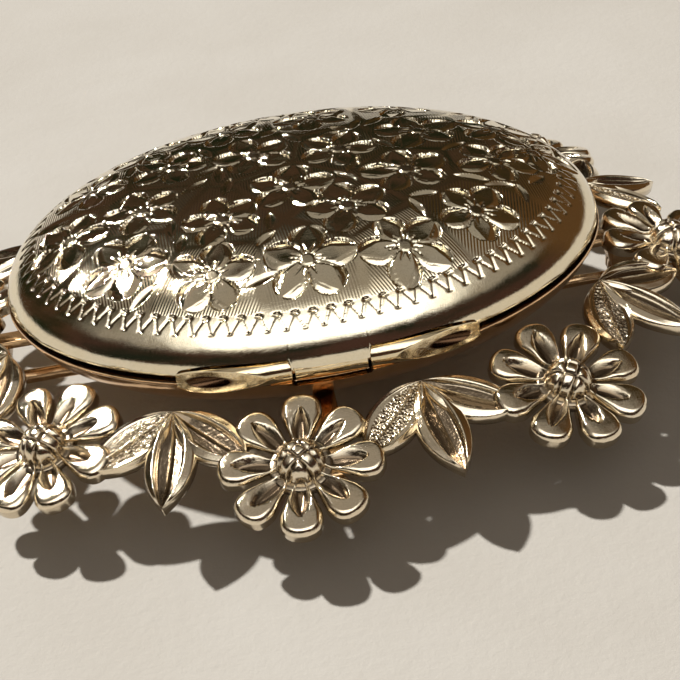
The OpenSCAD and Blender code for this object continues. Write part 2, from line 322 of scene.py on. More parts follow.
class Dome:
    """Oval dome: half-axes a, b, height h and the section's two exponents."""

    def __init__(self, a, b, h, p, q):
        self.a, self.b, self.h, self.p, self.q = a, b, h, p, q
        f = np.linspace(0, math.pi / 2, PROFILE_POINTS)
        self.rho = np.cos(f) ** (2 / p)
        self.rho[-1] = 0
        self.z = h * np.sin(f) ** (2 / q)
        step = np.hypot(np.diff(self.rho) * (a + b) / 2, np.diff(self.z))
        self.arc = np.concatenate([[0], np.cumsum(step)])
        self.length = self.arc[-1]

    def at_arc(self, s):
        return np.interp(s, self.arc, self.rho), np.interp(s, self.arc, self.z)

    def arc_of_height(self, z):
        return np.interp(z, self.z, self.arc)

    def normal(self, x, y, z):
        rho = np.maximum(np.hypot(x / self.a, y / self.b), 1e-4)
        g = self.p * rho ** (self.p - 2)
        n = np.stack([g * x / self.a ** 2, g * y / self.b ** 2,
                      self.q * np.maximum(np.abs(z) / self.h, 1e-6) ** (self.q - 1) / self.h
                      * np.where(z < 0, -1, 1)], -1)
        return n / np.linalg.norm(n, axis=-1, keepdims=True)


def cover_edge(x, y):
    """Height of the front cover's edge above the seam, where it gives way to the hinge."""
    away = y - HINGE_Y
    groove = HINGE_Z + np.sqrt(np.maximum(GROOVE_R ** 2 - away ** 2, 0))
    tube = HINGE_Z + np.sqrt(np.maximum(TUBE_R ** 2 - away ** 2, 0)) - 0.02
    edge = np.where(away < 0, HINGE_Z + GROOVE_R, np.where(away < GROOVE_R, groove, 0))
    edge = np.where(np.abs(x) < MIDDLE, np.where(np.abs(away) < TUBE_R, tube, 0), edge)
    return np.where((np.abs(x) < TUBE_END) & (y < 0), np.maximum(edge, 0), 0)


def back_edge(x, y):
    """Depth of the back cover's edge below its rim, likewise, as a positive number."""
    away = y - HINGE_Y
    r = np.where(np.abs(x) < MIDDLE, GROOVE_R, TUBE_R)
    rod = -HINGE_Z + np.sqrt(np.maximum(r ** 2 - away ** 2, 0))
    notch = -HINGE_Z + np.where(np.abs(x) < MIDDLE, GROOVE_R, TUBE_R - 0.1)
    edge = np.where(away < 0, notch, np.where(away < r, rod, 0)) - SEAM_GAP
    return np.where((np.abs(x) < TUBE_END) & (y < 0), np.maximum(edge, 0), 0)


EDGE_SHARE = 0.12       # share of the arc over which rows follow the notched edge


def rows_of(dome, edge, zones):
    """Rows of points from the rim to the crown. zones are (share of arc, rows, columns)."""
    rows, start = [], 0.0
    for share, count, columns in zones:
        turn = np.linspace(0, 2 * math.pi, columns, endpoint=False)
        ca, sa = np.cos(turn), np.sin(turn)
        low = np.zeros(columns)
        for _ in range(4):
            rho = dome.at_arc(dome.arc_of_height(low))[0]
            low = edge(dome.a * rho * ca, dome.b * rho * sa)
        first = dome.arc_of_height(low)
        for i in range(count):
            w = start + share * i / count
            near_rim = max(0.0, 1 - w / EDGE_SHARE)
            rho, z = dome.at_arc(first * near_rim + dome.length * w)
            rows.append(np.stack([dome.a * rho * ca, dome.b * rho * sa, z], -1))
        start += share
    return rows


def skin(outer, inner, crown_outer, crown_inner):
    """Closed shell mesh: outer rows, then inner rows, each from the rim up."""
    verts, faces, index = [], [], 0
    ids = []
    for rows in (outer, inner):
        mine = []
        for row in rows:
            mine.append(list(range(index, index + len(row))))
            index += len(row)
            verts.append(row)
        ids.append(mine)
    verts.append(np.array([crown_outer, crown_inner]))
    for mine, top, flip in ((ids[0], index, False), (ids[1], index + 1, True)):
        found = []
        for lower, upper in zip(mine[:-1], mine[1:]):
            found += stitch(lower, upper)
        last = mine[-1]
        found += [(last[i], last[(i + 1) % len(last)], top) for i in range(len(last))]
        faces += [f[::-1] for f in found] if flip else found
    faces += stitch(ids[1][0], ids[0][0])
    return np.concatenate(verts), faces


# ---------------------------------------------------------------- hand engraving of the cover

# Middles of the engraved flowers in plan. Some come from a fit of the reference view, others are
# filled in between them.
FLOWERS = [(-4.9, -8.1), (-0.2, -8.4), (-9.1, -5.5), (-4.0, -4.1), (4.6, -8.3), (2.3, -4.8),
           (8.6, -6.1), (-0.3, -2.0), (-1.9, 2.3), (5.8, -2.0), (-12.0, -1.7), (-8.0, -1.4),
           (-6.3, 2.9), (-10.8, 3.0), (-7.6, 6.6), (-3.1, 6.6), (1.8, 6.6), (2.7, 1.4),
           (7.2, 2.6), (10.6, -1.6), (11.6, 2.9), (6.6, 7.0), (-1.0, 9.6), (13.0, -0.0)]
HATCH_PITCH = 0.15
PATCH_FADE = 0.7        # how far the hatching fades out beside the next patch
PETALS_CUT, RAYS = 5, 14        # petals of an engraved flower, and gouges out of its middle
FLOWER_REACH = 3.2
LEAF_TRIES = 900        # places tried for the single leaf cuts
BORDER = (2.05, 3.05)   # the border's two edges, measured along the dome from its rim
BORDER_CUTS = 92


def engrave(dome, pts, arc_left):
    """Depth of cut, hatched ground, hatch phase, and the cuts' matte finish and painted shade at
    points of the dome.
    """
    x, y = pts[:, 0], pts[:, 1]
    n = len(pts)
    depth, taken, painted_shade = np.zeros(n), np.zeros(n), np.zeros(n)
    phase = np.zeros(n)
    rand = random.Random(5)
    # Hatching: each patch of ground, nearest to one flower, has its own direction
    near, second = np.full(n, 1e9), np.full(n, 1e9)
    for cx, cy in FLOWERS:
        away = np.hypot(x - cx, y - cy)
        angle = math.radians(rand.choice((0, 0, -38, 24)) + rand.uniform(-10, 10))
        mine = away < near
        second = np.where(mine, near, np.minimum(second, away))
        near = np.where(mine, away, near)
        phase = np.where(mine, (x * math.cos(angle) + y * math.sin(angle)) / HATCH_PITCH, phase)
    ground = smoothstep((second - near) / PATCH_FADE)
    for cx, cy in FLOWERS:
        size = rand.uniform(0.93, 1.06)
        spin = rand.uniform(0, 72)
        idx = np.nonzero(np.hypot(x - cx, y - cy) < FLOWER_REACH)[0]
        if not len(idx):
            continue
        dx, dy = x[idx] - cx, y[idx] - cy
        tilt = 1 + 0.10 * np.hypot(cx / dome.a, cy / dome.b)
        dx, dy = dx * tilt, dy * tilt
        r, angle = np.hypot(dx, dy), np.arctan2(dy, dx)
        cut, dish, matte_and_shade = np.zeros(len(idx)), np.zeros(len(idx)), np.zeros(len(idx))
        bare = np.zeros(len(idx))
        for k in range(PETALS_CUT):
            turn = math.radians(spin + 72 * k + rand.uniform(-5, 5))
            u, v = r * np.cos(angle - turn), r * np.sin(angle - turn)
            long = 0.96 * size * rand.uniform(0.92, 1.08)
            wide = 0.84 * size * rand.uniform(0.9, 1.08)
            q = (u - 0.38 - long) / long
            half = wide * (1 + 0.28 * np.clip(q, -1, 1))
            blunt = np.where(q > 0, 1.45, 2.0)
            e = np.sqrt(np.abs(q) ** blunt + (v / half) ** 2)
            psi = np.abs(np.arctan2(v / half, q))
            inside = 1 - e
            share = np.clip((psi - 0.10) / 2.55, 0, 1)
            shape = np.sin(math.pi * share ** 0.85) ** 0.8
            width = 0.46 * size * shape + 1e-3
            slope = np.where(inside >= 0, np.clip(1 - inside / width, 0, 1) ** 1.1,
                             np.clip(1 + inside / 0.06, 0, 1))
            cut = np.maximum(cut, 0.18 * slope * shape)
            body = np.clip(1 - e * e, 0, 1)
            dish = np.maximum(dish, body * (0.05 + 0.06 * v * rand.uniform(-1, 1)))
            bare = np.maximum(bare, smoothstep((1.04 - e) / 0.05))
        for k in range(RAYS):
            turn = math.radians(360 * k / RAYS + rand.uniform(-9, 9) + spin)
            u, v = r * np.cos(angle - turn), r * np.sin(angle - turn)
            end = rand.uniform(0.85, 1.25)
            width = 0.11 * np.clip((end - u) / 0.6, 0, 1) + 1e-3
            line = np.clip(1 - np.abs(v) / width, 0, 1) * (u > 0.36) * (u < end)
            cut = np.maximum(cut, 0.10 * line)
            # Painted shade and a matte finish in the gouges and the flower's middle.
            matte_and_shade = np.maximum(matte_and_shade, 0.6 * line)
        ring = np.clip(1 - np.abs(r - 0.42) / 0.12, 0, 1)
        cut = np.maximum(cut, 0.07 * ring)
        matte_and_shade = np.maximum(matte_and_shade, smoothstep((0.46 - r) / 0.06))
        bare = np.maximum(bare, smoothstep((0.8 - r) / 0.1))
        depth[idx] = np.maximum(depth[idx], cut + dish * (cut < 0.05))
        ground[idx] = np.minimum(ground[idx], 1 - bare)
        taken[idx] = np.maximum(taken[idx], bare)
        painted_shade[idx] = np.maximum(painted_shade[idx], matte_and_shade)
    # Single leaf cuts in the gaps between flowers
    for _ in range(LEAF_TRIES):
        cx, cy = rand.uniform(-14, 14), rand.uniform(-10.6, 10.6)
        turn, half_l = rand.uniform(0, math.pi), rand.uniform(0.6, 0.95)
        if math.hypot(cx / dome.a, cy / dome.b) > 0.84:
            continue
        idx = np.nonzero(np.hypot(x - cx, y - cy) < 1.2)[0]
        u = (x[idx] - cx) * math.cos(turn) + (y[idx] - cy) * math.sin(turn)
        v = -(x[idx] - cx) * math.sin(turn) + (y[idx] - cy) * math.cos(turn)
        half_w = 0.30 * np.clip(1 - (u / half_l) ** 2, 0, 1) + 1e-3
        lens = np.clip(1 - np.abs(v) / half_w, 0, 1) * (np.abs(u) < half_l)
        free = taken[idx][lens > 0]
        if len(free) < 8 or free.max() > 0.02:
            continue
        depth[idx] = np.maximum(depth[idx], 0.11 * lens)
        ground[idx] = np.minimum(ground[idx], 1 - smoothstep(lens * 6))
        taken[idx] = np.maximum(taken[idx], smoothstep(lens * 6))
    # Wriggle-cut border: a wedge at the inner end, a fine line out, a smaller wedge
    turn = np.unwrap(np.arctan2(y / dome.b, x / dome.a))
    fine = np.linspace(-math.pi, math.pi, 4001)
    run = np.concatenate([[0], np.cumsum(np.hypot(np.diff(dome.a * np.cos(fine)),
                                                  np.diff(dome.b * np.sin(fine))))])
    wrapped = (turn + math.pi) % (2 * math.pi) - math.pi
    along = np.interp(wrapped, fine, run / run[-1]) * BORDER_CUTS
    p = along % 1.0
    up = (arc_left - BORDER[0]) / (BORDER[1] - BORDER[0])
    ground = ground * smoothstep((arc_left - BORDER[1] + 0.05) / 0.1)
    inner = (np.clip(1 - np.abs(p - 0.52) / 0.27, 0, 1) ** 0.6
             * np.clip(1 - np.abs(up - 0.92) / 0.17, 0, 1))
    gap = np.minimum(p, 1 - p)
    outer = np.clip(1 - gap / 0.2, 0, 1) ** 0.7 * np.clip(1 - np.abs(up - 0.06) / 0.12, 0, 1)
    off_line = np.abs(up - (1 - np.abs(2 * p - 1))) * 0.44
    line = np.clip(1 - off_line / np.where(p < 0.5, 0.10, 0.07), 0, 1) * (up > 0) * (up < 1)
    depth = np.maximum(depth, np.maximum(np.maximum(0.15 * inner, 0.09 * outer), 0.06 * line))
    # The border's cuts are painted a little darker as shade.
    painted_shade = np.maximum(painted_shade, 0.12 * np.maximum(inner, line))
    return depth, ground, phase, painted_shade


top = (cover_high.z / MM - SEAM) - TOP_INSET
outer_dome = Dome(A - SIDE_INSET, B - SIDE_INSET, top, *FRONT_SECTION)
inner_dome = Dome(A - SHELL, B - SHELL, FRONT_H - SHELL, *FRONT_SECTION)
DRAFT = 1
outer = rows_of(outer_dome, cover_edge,
                [(0.50, 132 // DRAFT, 1280 // DRAFT), (0.26, 64 // DRAFT, 640 // DRAFT),
                 (0.16, 36 // DRAFT, 320 // DRAFT), (0.08, 16 // DRAFT, 160 // DRAFT)])
inner = rows_of(inner_dome, cover_edge,
                [(0.04, 2, 1280 // DRAFT), (0.06, 3, 640 // DRAFT),
                 (0.5, 14, 320 // DRAFT), (0.4, 8, 160 // DRAFT)])
flat = np.concatenate(outer)
arc_here = outer_dome.arc_of_height(flat[:, 2])
depth, ground, phase, painted_shade = engrave(outer_dome, flat, arc_here)
normal = outer_dome.normal(flat[:, 0], flat[:, 1], flat[:, 2])
cut_pts = flat - normal * depth[:, None]
split = np.cumsum([len(r) for r in outer])[:-1]
verts, faces = skin(np.split(cut_pts, split), inner, (0, 0, top), (0, 0, FRONT_H - SHELL))
blank = np.zeros(len(verts) - len(flat))
make("front_cover_engraved", verts, faces, COVER, "case_front", ["front_cover"],
     {"painted_shade": np.concatenate([painted_shade, blank]), "ground": np.concatenate([ground, blank]),
      "hatch": np.concatenate([phase, blank])}, sharp=50)

# Back cover: the rim stands a little proud as a thin polished bead
bottom = SEAM - SEAM_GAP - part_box("back_cover")[0].z / MM - TOP_INSET
PROUD, BEAD = 0.11, 0.25
back_dome = Dome(A, B, bottom, *BACK_SECTION)
back_inside = Dome(A - SHELL, B - SHELL, BACK_H - SHELL, *BACK_SECTION)
outer = rows_of(back_dome, back_edge, [(0.10, 22, 960), (0.40, 36, 480), (0.5, 24, 240)])
for row in outer:
    bulge = 1 - ((row[:, 2] - BEAD / 2) / (BEAD / 2 + 0.02)) ** 2
    rise = np.sqrt(np.clip(bulge, 0, 1)) * PROUD
    row[:, 0] *= 1 + rise / A
    row[:, 1] *= 1 + rise / B
inner = rows_of(back_inside, back_edge, [(0.1, 3, 960), (0.4, 12, 480), (0.5, 12, 240)])
verts, faces = skin(outer, inner, (0, 0, bottom), (0, 0, BACK_H - SHELL))
verts = verts * [1, 1, -1] - [0, 0, SEAM_GAP]
make("back_cover_polished", verts, [f[::-1] for f in faces], BACK, "case_back",
     ["back_cover"], sharp=45)

# ---------------------------------------------------------------- hinge knuckles


def filed_end(y):
    """Length along the hinge at which the tube meets the oval outline it is filed to."""
    inside = np.clip((np.abs(y) - FILED_PROUD) / B, 0, 1)
    return np.minimum(TUBE_END, A * np.sqrt(1 - inside ** 2))


def knuckle(name, start, end, bore, filed, body, node):
    """Tube along X between two ends; a filed end follows the oval outline."""
    n = 128
    turn = np.linspace(0, 2 * math.pi, n, endpoint=False)
    way = np.sign(end - start)

    def ring(r, at_end, inset=0.0):
        y = HINGE_Y + r * np.cos(turn)
        z = HINGE_Z + r * np.sin(turn)
        if at_end and filed:
            x = way * (filed_end(y) - inset)
        else:
            x = np.full(n, (end if at_end else start) + inset * (-way if at_end else way))
        return np.stack([x, y, z], -1)

    soft = 0.03
    loop = [ring(r, False) for r in np.linspace(bore, TUBE_R - soft, 3)]
    loop += [ring(TUBE_R - soft * 0.3, False, soft * 0.3), ring(TUBE_R, False, soft)]
    first, last = loop[-1], ring(TUBE_R, True, soft)
    loop += [first + (last - first) * f for f in np.linspace(0, 1, 12)[1:-1]]
    loop += [last, ring(TUBE_R - soft * 0.3, True, soft * 0.3)]
    loop += [ring(r, True) for r in np.linspace(TUBE_R - soft, bore, 5)]
    first, last = loop[-1], loop[0]
    loop += [first + (last - first) * f for f in np.linspace(0, 1, 8)[1:-1]]
    verts, faces = loft(loop, close_ends=False)
    faces += stitch(list(range(n * (len(loop) - 1), n * len(loop))), list(range(n)))
    if way > 0:
        faces = [f[::-1] for f in faces]
    # Painted shade: the inside of the bore is darkened fully.
    bore_rings = 7
    painted_shade = np.zeros(len(verts))
    painted_shade[-bore_rings * n:] = 1.2
    make(name, verts, faces, HINGE, body, [node],
         {"painted_shade": painted_shade, "stipple": np.zeros(len(verts))}, sharp=28)


FILED_PROUD = 0.20      # the filed ends stand this far outside the oval
knuckle("front_knuckle_tube", -MIDDLE_TUBE, MIDDLE_TUBE, FREE_BORE, False, "case_front",
        "front_knuckle")
knuckle("back_knuckle_left_tube", -MIDDLE, -TUBE_END, TIGHT_BORE, True, "case_back",
        "back_knuckle_left")
knuckle("back_knuckle_right_tube", MIDDLE, TUBE_END, TIGHT_BORE, True, "case_back",
        "back_knuckle_right")

# ---------------------------------------------------------------- wreath

# Repeated from the CAD: the wreath's size and place, and the turn and stray of each flower and
# spray
WREATH_OUT, DROP = 3.85, 2.6
WREATH_A, WREATH_B = A + WREATH_OUT, B + WREATH_OUT
WREATH_TURN, WREATH_TILT, COUNT = -7.7, 18.0, 8
BEND = (WREATH_A ** 2 - WREATH_B ** 2) / (WREATH_A ** 2 + WREATH_B ** 2) / 4
FLOWER_SPIN = (20, 12, 30, 22, 8, 2, 42, 34)
FLOWER_STRAY = (0, 0, 0, 0, 2, 4, 0.5, -1)
SPRAY_STRAY = (0, 0, 0, 1, 3, 3, 0, 0)
SPRAY_SPIN = (0, 0, 0, 0, 0, 9, 0, 0)


def on_wreath(turn_deg, spin_deg=0.0):
    """Placement of a wreath piece: local Y points outward and tilts down, X runs along."""
    s = math.radians(turn_deg)
    t = s + BEND * math.sin(2 * s)
    facing = math.atan2(math.sin(t) / WREATH_B, math.cos(t) / WREATH_A)
    place = Matrix.Translation((WREATH_A * math.cos(t), WREATH_B * math.sin(t), -DROP))
    place @= Matrix.Rotation(facing - math.pi / 2, 4, "Z")
    place @= Matrix.Rotation(math.radians(-WREATH_TILT), 4, "X")
    place @= Matrix.Rotation(math.radians(spin_deg), 4, "Z")
    return np.array(place)


def moved(place, pts):
    return pts @ place[:3, :3].T + place[:3, 3]


FLOWER_R, PETAL_T, PETAL_END = 4.0, 0.9, 1.0


def petal(rand, turn):
    """One domed petal with a gouged pointed oval, a bevelled rim and a thick side."""
    n, rings = 56, 15
    reach = FLOWER_R - 0.02 - PETAL_END - rand.uniform(0, 0.12)
    wide = rand.uniform(0.95, 1.0)
    base_r = 0.9
    phi = np.linspace(-math.pi / 2, 1.5 * math.pi, n, endpoint=False)
    # Outline: round end, sides running in to the flower's middle
    out_x, out_y = [], []
    for f in phi:
        cx, cy = math.cos(f), math.sin(f)
        if cy >= -0.2:
            squared = 0.10 * math.sin(2 * f) ** 2
            out_x.append(PETAL_END * wide * cx * (1 + squared))
            out_y.append(reach + PETAL_END * cy * (1 + squared * 0.4))
        else:
            share = (-cy - 0.2) / 0.8
            taper = 1 - 0.62 * share
            out_x.append(PETAL_END * wide * math.copysign(min(1, abs(cx) ** 0.45), cx) * taper
                         if abs(cx) > 1e-6 else 0.0)
            out_y.append(reach - 0.2 * PETAL_END - share * (reach - 0.2 * PETAL_END - base_r))
    out = np.stack([out_x, out_y], -1)
    out[:, 1] = np.minimum(out[:, 1], FLOWER_R - 0.02)
    spine = np.stack([np.zeros(n), np.clip(out[:, 1], base_r + 0.25, reach + 0.15)], -1)
    lens_lo, lens_hi = 1.0, rand.uniform(2.85, 3.3)
    lens_w = rand.uniform(0.40, 0.54)
    skew = rand.uniform(-0.10, 0.10)
    deep = rand.uniform(0.30, 0.40)
    lift = rand.uniform(-0.03, 0.03)
    rows, painted_shade = [], []
    for k in np.linspace(0, 1, rings) ** 0.85:
        p = spine + (out - spine) * k
        edge = np.clip((k - 0.70) / 0.30, 0, 1)
        crown = 0.44 - 0.24 * edge ** 2.0 - 0.07 * k ** 2
        along = np.clip((p[:, 1] - base_r) / (FLOWER_R - base_r), 0, 1)
        crown = crown - 0.16 * (1 - along) - 0.05 * along ** 4
        y_here = np.clip((p[:, 1] - lens_lo) / (lens_hi - lens_lo), 0, 1)
        half = lens_w * np.sin(math.pi * y_here ** 0.8) ** 0.8 + 1e-3
        groove = np.clip(1 - np.abs(p[:, 0] - skew * half) / half, 0, 1)
        groove = np.where((y_here > 0) & (y_here < 1), groove, 0)
        z = crown - deep * np.minimum(groove * 1.35, 1) ** 0.8 + lift * p[:, 0]
        rows.append(np.column_stack([p, z]))
        # Painted shade in the gouge.
        painted_shade.append(np.clip(groove * 1.6, 0, 1) * 0.9)
    top_edge = rows[-1]
    for drop, shrink in ((0.10, 0.0), (0.45, -0.01), (0.62, 0.02), (0.70, 0.09)):
        ring = top_edge.copy()
        away = out - spine
        away = away / np.maximum(np.linalg.norm(away, axis=1, keepdims=True), 1e-6)
        ring[:, :2] -= away * shrink
        ring[:, 2] = np.maximum(0.13 - drop, -PETAL_T / 2)
        rows.append(ring)
        # Painted shade on the petal's side.
        painted_shade.append(np.full(n, 0.25))
    under = rows[-1].copy()
    under[:, :2] = spine
    under[:, 2] = -PETAL_T / 2
    last = rows[-1].copy()
    last[:, 2] = -PETAL_T / 2
    last[:, :2] = spine + (last[:, :2] - spine) * 0.97
    rows += [last, under]
    # Painted shade on the underside.
    painted_shade += [np.full(n, 0.4), np.full(n, 0.4)]
    verts, faces = loft(np.asarray(rows), close_ends=False)
    c, s = math.cos(turn), math.sin(turn)
    spun = verts.copy()
    spun[:, 0], spun[:, 1] = verts[:, 0] * c - verts[:, 1] * s, verts[:, 0] * s + verts[:, 1] * c
    return spun, faces, {"painted_shade": np.concatenate(painted_shade), "stipple": np.zeros(len(verts))}


def heart(rand):
    """Ball in the middle, cut crosswise into pillowed pads, on a low round seat."""
    n = 57
    g = np.linspace(-1, 1, n)
    s, t = np.meshgrid(g, g)
    dx, dy = s * np.sqrt(1 - t * t / 2), t * np.sqrt(1 - s * s / 2)
    r = np.hypot(dx, dy)
    lat = r * math.radians(112)
    turn = np.arctan2(dy, dx)
    ball = 1.2
    x, y = ball * np.sin(lat) * np.cos(turn), ball * np.sin(lat) * np.sin(turn)
    z = ball * np.cos(lat)
    off = rand.uniform(-0.05, 0.05)

    def groove(u):
        return np.exp(-((np.abs(u - off) - 0.36) / 0.075) ** 2)

    cut = np.maximum(groove(x), groove(y)) * smoothstep((z + 0.25) / 0.5)
    scale = 1 - (0.17 * cut + 0.03) / ball
    pts = np.stack([x * scale, y * scale, z * scale + 0.1], -1).reshape(-1, 3)
    faces = [(i * n + j, i * n + j + 1, (i + 1) * n + j + 1, (i + 1) * n + j)
             for i in range(n - 1) for j in range(n - 1)]
    edge = (list(range(n)) + [i * n + n - 1 for i in range(1, n)]
            + [(n - 1) * n + j for j in range(n - 2, -1, -1)] + [i * n for i in range(n - 2, 0, -1)])
    faces.append(tuple(edge[::-1]))
    # The grooves between the pads are painted darker as shade.
    parts = [(pts, faces, {"painted_shade": np.clip(cut, 0, 1).ravel() * 0.95,
                           "stipple": np.zeros(n * n)})]
    ring = np.linspace(0, 2 * math.pi, 48, endpoint=False)
    rows = [np.stack([r0 * np.cos(ring), r0 * np.sin(ring), np.full(48, z0)], -1)
            for r0, z0 in ((0.4, -0.45), (1.42, -0.45), (1.5, -0.38), (1.5, 0.0), (1.42, 0.06),
                           (1.25, 0.08), (0.4, 0.08))]
    v, f = loft(rows)
    # The seat under the ball is painted dark as shade.
    parts.append((v, f, {"painted_shade": np.full(len(v), 0.7), "stipple": np.zeros(len(v))}))
    return join(parts)


for i in range(1, COUNT + 1):
    rand = random.Random(100 + i)
    place = on_wreath(WREATH_TURN + 360 * (i - 1) / COUNT + FLOWER_STRAY[i - 1],
                      FLOWER_SPIN[i - 1])
    parts = [petal(rand, 2 * math.pi * k / 8 + math.radians(rand.uniform(-1.2, 1.2)))
             for k in range(8)]
    parts.append(heart(rand))
    v, f, values = join(parts)
    make(f"flower_{i}_chased", moved(place, v), f, WREATH, "case_back",
         [f"flower_{i}"], values, sharp=60)

LEAF_L, LEAF_W, LEAF_T, APEX = 5.4, 2.5, 0.75, -3.1
SIDE_LEAF, LEAF_SPREAD, SIDE_LEAF_DROP = 0.9, 52, 0.04  # side leaves: share, turn, drop


def leaf(rand, length, width, turn, style):
    """One leaf: pointed oval with a raised bevelled border, sunk faces and a fine midrib."""
    sections, painted_shade, stipple = [], [], []
    across = np.concatenate([np.linspace(-1, -0.86, 4), np.linspace(-0.8, 0.8, 33),
                             np.linspace(0.86, 1, 4)])
    n_top = len(across)
    for share in 0.5 - 0.5 * np.cos(np.linspace(0.03, math.pi - 0.03, 46)):
        r = (length ** 2 + width ** 2) / (4 * width)
        half = math.sqrt(max(r ** 2 - (length * (share - 0.5)) ** 2, 0)) - (r - width / 2)
        half = max(half, 0.02)
        full = min(1.0, half / (0.35 * width))
        v = np.abs(across)
        border = 0.56 if style != "plain" else 0.50
        sunk = 1 - 0.42 * full * smoothstep((border + 0.08 - v) / 0.13)
        bevel = 1 - (v - 0.64) / 0.36 * 0.22 - np.clip((v - 0.9) / 0.1, 0, 1) ** 2 * 0.2
        rise = np.where(v > 0.64, bevel, sunk)
        rib = np.clip(1 - v / 0.10, 0, 1) ** 0.7 * 0.36 * full
        if style == "stippled":
            rise = np.where(v > 0.86, rise, 1 - 0.20 * full * smoothstep((0.86 - v) / 0.12))
        keel = 0.12 * smoothstep((0.5 - v) / 0.5) * full * (1 if style == "plain" else -0.3)
        z = LEAF_T * (rise + rib - keel) - LEAF_T / 2
        z = np.minimum(z, LEAF_T / 2 + 0.02) - 0.12 * (share > 0.9) * (share - 0.9) / 0.1
        y = length * share
        topline = np.stack([across * half, np.full(n_top, y), z], -1)
        side = [(half, -0.05), (half * 0.99, -0.30), (half * 0.90, -LEAF_T / 2),
                (0.0, -LEAF_T / 2), (-half * 0.90, -LEAF_T / 2), (-half * 0.99, -0.30),
                (-half, -0.05)]
        low = np.array([(x, y, h) for x, h in side])
        sections.append(np.concatenate([topline, low]))
        sink = smoothstep((border + 0.05 - v) / 0.15) * (1 - 0.8 * np.clip(1 - v / 0.12, 0, 1))
        # Painted shade: the sunk faces are darkened, the plain leaves' more, and the sides a little.
        painted_shade.append(np.concatenate([sink * (0.85 if style == "plain" else 0.5),
                                      np.full(7, 0.35)]))
        stip = sink if style == "stippled" else sink * 0.12
        stipple.append(np.concatenate([stip, np.zeros(7)]))
    verts, faces = loft(sections)
    bow = rand.uniform(-0.10, 0.10)
    verts[:, 0] += bow * np.sin(math.pi * verts[:, 1] / length)
    c, s = math.cos(turn), math.sin(turn)
    spun = verts.copy()
    spun[:, 0], spun[:, 1] = verts[:, 0] * c - verts[:, 1] * s, verts[:, 0] * s + verts[:, 1] * c
    spun[:, 1] += APEX
    return spun, [f[::-1] for f in faces], {"painted_shade": np.concatenate(painted_shade),
                                            "stipple": np.concatenate(stipple)}


for i in range(1, COUNT + 1):
    rand = random.Random(200 + i)
    place = on_wreath(WREATH_TURN + 360 * (i - 0.5) / COUNT + SPRAY_STRAY[i - 1],
                      SPRAY_SPIN[i - 1])
    parts = [leaf(rand, LEAF_L, LEAF_W, 0.0, "plain")]
    for side in (-1, 1):
        style = "stippled" if side < 0 else "plain"
        v, f, values = leaf(rand, SIDE_LEAF * LEAF_L, LEAF_W, side * math.radians(LEAF_SPREAD),
                            style)
        v[:, 2] -= SIDE_LEAF_DROP
        parts.append((v, f, values))
    v, f, values = join(parts)
    make(f"leaf_spray_{i}_chased", moved(place, v), f, WREATH, "case_back",
         [f"leaf_spray_{i}"], values, sharp=60)

# ---------------------------------------------------------------- plainer parts, edges softened


BEVEL_STEPS = 2
FLAT_ANGLE, EDGE_ANGLE, SHARP_ANGLE = 1.0, 40, 35   # degrees


def soften(node, material, body, width=0.07):
    """The CAD part with its sharp edges rounded as filing and polishing leave them."""
    mesh = bpy.data.meshes.new(node + "_soft")
    bm = bmesh.new()
    bm.from_mesh(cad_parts[node].data)
    bmesh.ops.remove_doubles(bm, verts=bm.verts, dist=1e-7)
    bmesh.ops.dissolve_limit(bm, angle_limit=math.radians(FLAT_ANGLE), verts=bm.verts, edges=bm.edges)
    edges = [e for e in bm.edges if len(e.link_faces) == 2
             and e.calc_face_angle() > math.radians(EDGE_ANGLE)]
    bmesh.ops.bevel(bm, geom=edges, offset=width * MM, offset_type="OFFSET",
                    segments=BEVEL_STEPS, profile=0.5, affect="EDGES", clamp_overlap=True)
    bmesh.ops.triangulate(bm, faces=[f for f in bm.faces if len(f.verts) > 4])
    bm.to_mesh(mesh)
    bm.free()
    mesh.polygons.foreach_set("use_smooth", np.ones(len(mesh.polygons), bool))
    mesh.set_sharp_from_angle(angle=math.radians(SHARP_ANGLE))
    mesh.materials.append(material)
    piece = bpy.data.objects.new(node + "_finished", mesh)
    bpy.context.scene.collection.objects.link(piece)
    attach(piece, body)
    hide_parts(node)


for node in ("strut_hinge_side", "strut_far_side", "strut_left", "strut_right"):
    soften(node, SHADE_DARKENED_FITTING, "case_back", 0.10)
soften("joint_bracket", SHADE_DARKENED_FITTING, "case_back")
soften("joint_rivet", SHADE_DARKENED_FITTING, "case_back", 0.05)
soften("catch_shell", SHADE_DARKENED_FITTING, "case_back", 0.06)
soften("pin_stem", SHADE_DARKENED_FITTING, "brooch_pin", 0.05)
soften("catch_roller", SHADE_DARKENED_FITTING, "roller", 0.06)
soften("thumb_lip", BACK, "case_front", 0.06)
for node in ("closing_ring", "back_bezel", "back_frame"):
    soften(node, INNER, "case_back", 0.04)
for node in ("front_bezel", "front_frame"):
    soften(node, INNER, "case_front", 0.04)

for node, material in (("front_window", WINDOW), ("back_window", WINDOW), ("front_picture", CARD),
                       ("back_picture", CARD), ("hinge_pin", SHADE_DARKENED_FITTING)):
    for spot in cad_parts[node].material_slots:
        spot.material = material

# ---------------------------------------------------------------- floor, light and camera

